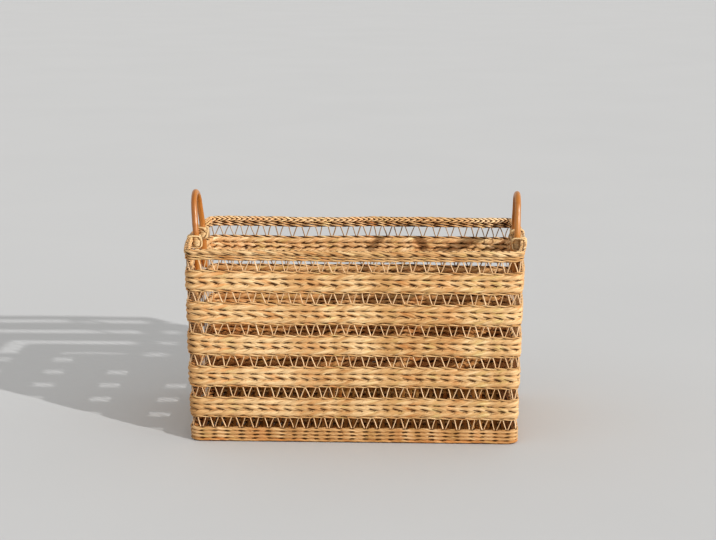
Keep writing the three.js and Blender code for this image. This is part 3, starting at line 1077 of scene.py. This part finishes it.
def cane_finish(name, dark, middle, light, seed, gloss, knots=0.0, coat=0.0, across_scale=1.0,
                pith=None, sheen=0.5):
    """Split, peeled or bent cane: close straight grain, a satin or varnished skin, darker at knots, or
    on the pith side of a split strip."""
    material, tree = sheet_of(name)
    grain, _ = grain_of(tree, 3.0 * across_scale, 30.0 * across_scale, seed)
    mixed = weighed(tree, (grain["Tone"], 0.4), (grain["Straws"], 0.22), (grain["Fibres"], 0.2),
                    (grain["Clouds"], 0.25))
    color = ramp(tree, mixed, (0.1, dark), (0.5, middle), (0.95, light))
    color = blend(tree, math_node(tree, "MULTIPLY", grain["Specks"], 0.5), color, dark)
    if knots:
        depth = math_node(tree, "MULTIPLY", share_of(tree, "nook"), knots)
        color = blend(tree, depth, color, pith or dark)
    rough = math_node(tree, "MULTIPLY_ADD", grain["Fibres"], 0.14, gloss)
    shader = surface(tree, color, grain["Fibres"], 0.5, 0.12 * MM, rough, sheen)
    shader.inputs["Coat Weight"].default_value = coat
    shader.inputs["Coat Roughness"].default_value = 0.18
    return material


# ---- camera, floor and light


def set_camera():
    """The camera of the photograph, fitted to the basket's corners."""
    bpy.ops.object.camera_add(location=CAMERA_PLACE, rotation=(CAMERA_TILT, 0, CAMERA_YAW))
    camera = bpy.context.object
    camera.data.sensor_width = CAMERA_SENSOR
    camera.data.lens = CAMERA_LENS
    camera.data.clip_end = CAMERA_REACH
    bpy.context.scene.camera = camera


def floor_finish():
    """Pale, slightly mottled studio floor."""
    material, tree = sheet_of("pale floor")
    place = node(tree, "TexCoord").outputs["Object"]
    color = blend(tree, noise(tree, place, 1.7, 4.0), (0.567, 0.574, 0.580), (0.596, 0.603, 0.609))
    shader = tree.nodes["Principled BSDF"]
    tree.links.new(color, shader.inputs["Base Color"])
    shader.inputs["Roughness"].default_value = 0.95
    shader.inputs["Specular IOR Level"].default_value = 0.1
    return material


def lay_floor():
    """A plain floor under the basket, out to the horizon."""
    deselect()
    bpy.ops.mesh.primitive_plane_add(size=FLOOR_SIZE, location=(0, 0, 0))
    floor = bpy.context.object
    floor.name = "floor"
    floor.data.materials.append(floor_finish())


def light_studio():
    """A low, fairly hard key from the front right, and a pale fill that is brightest at the horizon."""
    bpy.ops.object.light_add(type="SUN", location=(2, -1, 1))
    key = bpy.context.object
    key.name = "key"
    key.data.energy = KEY_STRENGTH
    key.data.angle = KEY_SOFTNESS
    key.data.color = WARM_WHITE
    level = Vector(KEY_FROM).normalized() * math.cos(KEY_RISE)
    towards = Vector((level.x, level.y, math.sin(KEY_RISE)))
    key.rotation_euler = towards.to_track_quat("Z", "Y").to_euler()
    world = bpy.data.worlds.new("studio")
    bpy.context.scene.world = world
    world.use_nodes = True
    tree = world.node_tree
    up = node(tree, "SeparateXYZ", {"Vector": node(tree, "TexCoord").outputs["Generated"]}).outputs["Z"]
    fill = tree.nodes["Background"]
    fill.inputs["Color"].default_value = (*WARM_WHITE, 1)
    tree.links.new(spread(tree, up, 0.0, 1.0, FILL_LEVEL, FILL_ABOVE), fill.inputs["Strength"])


bpy.context.scene.view_settings.view_transform = "Standard"
bpy.context.scene.view_settings.look = "Medium High Contrast"
set_camera()
lay_floor()
light_studio()

straw = straw_finish("twisted straw", (0.42, 0.21, 0.075), (0.62, 0.385, 0.18), (0.80, 0.58, 0.33), 1.0)
cord = straw_finish("straw cord", (0.40, 0.20, 0.07), (0.60, 0.36, 0.16), (0.78, 0.55, 0.30), 2.0,
                    straws_across=3.0)
# The inner rim's straw is the twisted straw made lighter, as painted light on the rim's inner face.
rim_straw_painted_light = straw_finish("inner rim straw painted lighter", (0.49, 0.25, 0.095), (0.72, 0.455, 0.215),
                         (0.88, 0.65, 0.39), 1.5)
foot_cord = straw_finish("foot straw cord", (0.34, 0.16, 0.055), (0.57, 0.335, 0.145),
                         (0.78, 0.53, 0.29), 3.0, straws_across=3.0)
lowest_cord = straw_finish("lowest straw cord", (0.34, 0.16, 0.05), (0.56, 0.325, 0.135),
                           (0.76, 0.52, 0.28), 3.5, straws_across=3.0, tint=(1.0, 0.66, 0.38))
# The base straw is much darker and redder than the wall straw, as painted shade of the basket's inside
# low down.
base_straw = straw_finish("base straw", (0.22, 0.085, 0.02), (0.38, 0.18, 0.055), (0.52, 0.30, 0.11),
                          4.0, sheen=0.0)
cane = cane_finish("split cane", (0.46, 0.26, 0.11), (0.68, 0.45, 0.25), (0.82, 0.60, 0.38), 5.0, 0.42,
                   knots=0.9, pith=(0.22, 0.13, 0.065))
bent = cane_finish("bent cane", (0.28, 0.088, 0.012), (0.44, 0.172, 0.03), (0.55, 0.25, 0.062), 6.0,
                   0.36, knots=0.7, coat=0.2, across_scale=2.0)
peel = cane_finish("cane peel", (0.48, 0.29, 0.12), (0.68, 0.475, 0.245), (0.77, 0.60, 0.36), 7.0, 0.5)
base_cane = cane_finish("raw cane", (0.34, 0.17, 0.06), (0.56, 0.33, 0.14), (0.70, 0.48, 0.25), 8.0,
                        0.5, knots=0.5, sheen=0.1)

# The slits between strands, pushed in and darkened with painted shade, each as how high it lies on the
# row (-1 to 1), its lean, half length and half height.
LEFT_DOWN = math.radians(-14)
FOOT_SLITS = [(-0.83, 0, 5.0 * MM, 1.4 * MM), (0.86, 0, 5.0 * MM, 1.0 * MM)]
WALE_SLITS = {
    3: [(-0.86, 0, 7.0 * MM, 1.3 * MM)],
    2: [(0.90, 0, 7.0 * MM, 1.0 * MM), (-0.50, LEFT_DOWN, 8.5 * MM, 1.3 * MM)],
    1: [(0.95, LEFT_DOWN, 7.0 * MM, 0.9 * MM)],
}
TWINE_SLITS = {"upper": [(-0.85, 0, 4.0 * MM, 1.1 * MM)], "lower": [(0.9, 0, 4.0 * MM, 0.9 * MM)]}
for row in range(1, 5):
    finish, slits = (lowest_cord, FOOT_SLITS[1:]) if row == 1 else (foot_cord, FOOT_SLITS)
    wall_course(f"foot_twine_{row}", finish, "straw_twine", 8.8 * MM, 3, 1, 60 + row, swell=1.2,
                breadth=0.66, girth=0.46, cuts=26, dwell=0.5, cross=1.0, above=row < 4, hollows=slits,
                along_with=end_straws() if row == 2 else ())
for band in range(1, BANDS + 1):
    cross = 0.5 + (BANDS - band) % 2 * 0.5
    for wale, hand in zip(range(1, WALES + 1), (-1, 1, -1)):
        wall_course(f"band_{band}_wale_{wale}", straw, "straw_wale", 8.6 * MM, 4, hand,
                    100 + 10 * band + wale, swell=1.18, breadth=0.58 if wale == 2 else 0.68, sides=10,
                    cuts=35, cross=cross, dwell=0.25 if wale == 2 else 0.5, hollows=WALE_SLITS[wale])
    for place in ("lower", "upper"):
        wall_course(f"band_{band}_{place}_twine", cord, "straw_twine", 6.6 * MM, 2, 1,
                    200 + 10 * band + (place == "upper"), swell=1.25, breadth=0.64, girth=0.5, cuts=13,
                    settle=0.08, dwell=0.4, cross=cross, above=place == "lower", below=place == "upper",
                    hollows=TWINE_SLITS[place])
for row in (1, 2):
    wall_course(f"rim_twine_{row}", cord, "straw_twine", 6.4 * MM, 2, 1, 300 + row, swell=1.2,
                breadth=0.66, girth=0.5, cuts=13, settle=0.08, dwell=0.45, below=row == 2,
                hollows=TWINE_SLITS["upper"], shade=0.85)
wall_course("rim_rope_outer", straw, "straw_wale", 5.3 * MM, 4, 1, 310, inset=2.2 * MM, swell=1.03,
            breadth=0.58, dwell=0.25, hollows=[(-0.45, LEFT_DOWN, 8.0 * MM, 1.1 * MM)], above=False)
for row in range(1, BANDS + 2):
    stakes_row(row, cane)
inner_rim(rim_straw_painted_light)
for left, word in ((False, "right"), (True, "left")):
    for side in (-1, 1):
        end = "front" if (side < 0) != left else "rear"
        lashing(f"lashing_{word}_{end}", side, left, peel)
for stick in range(1, 6):
    base_stick(f"base_stick_{stick}", 900 + stick, base_cane)
for weaver in range(1, 9):
    base_weaver(f"base_weaver_{weaver}", weaver - 1, base_straw)
bow("handle_right", 1 * MM, False, bent)
bow("handle_left", 6 * MM, True, bent)
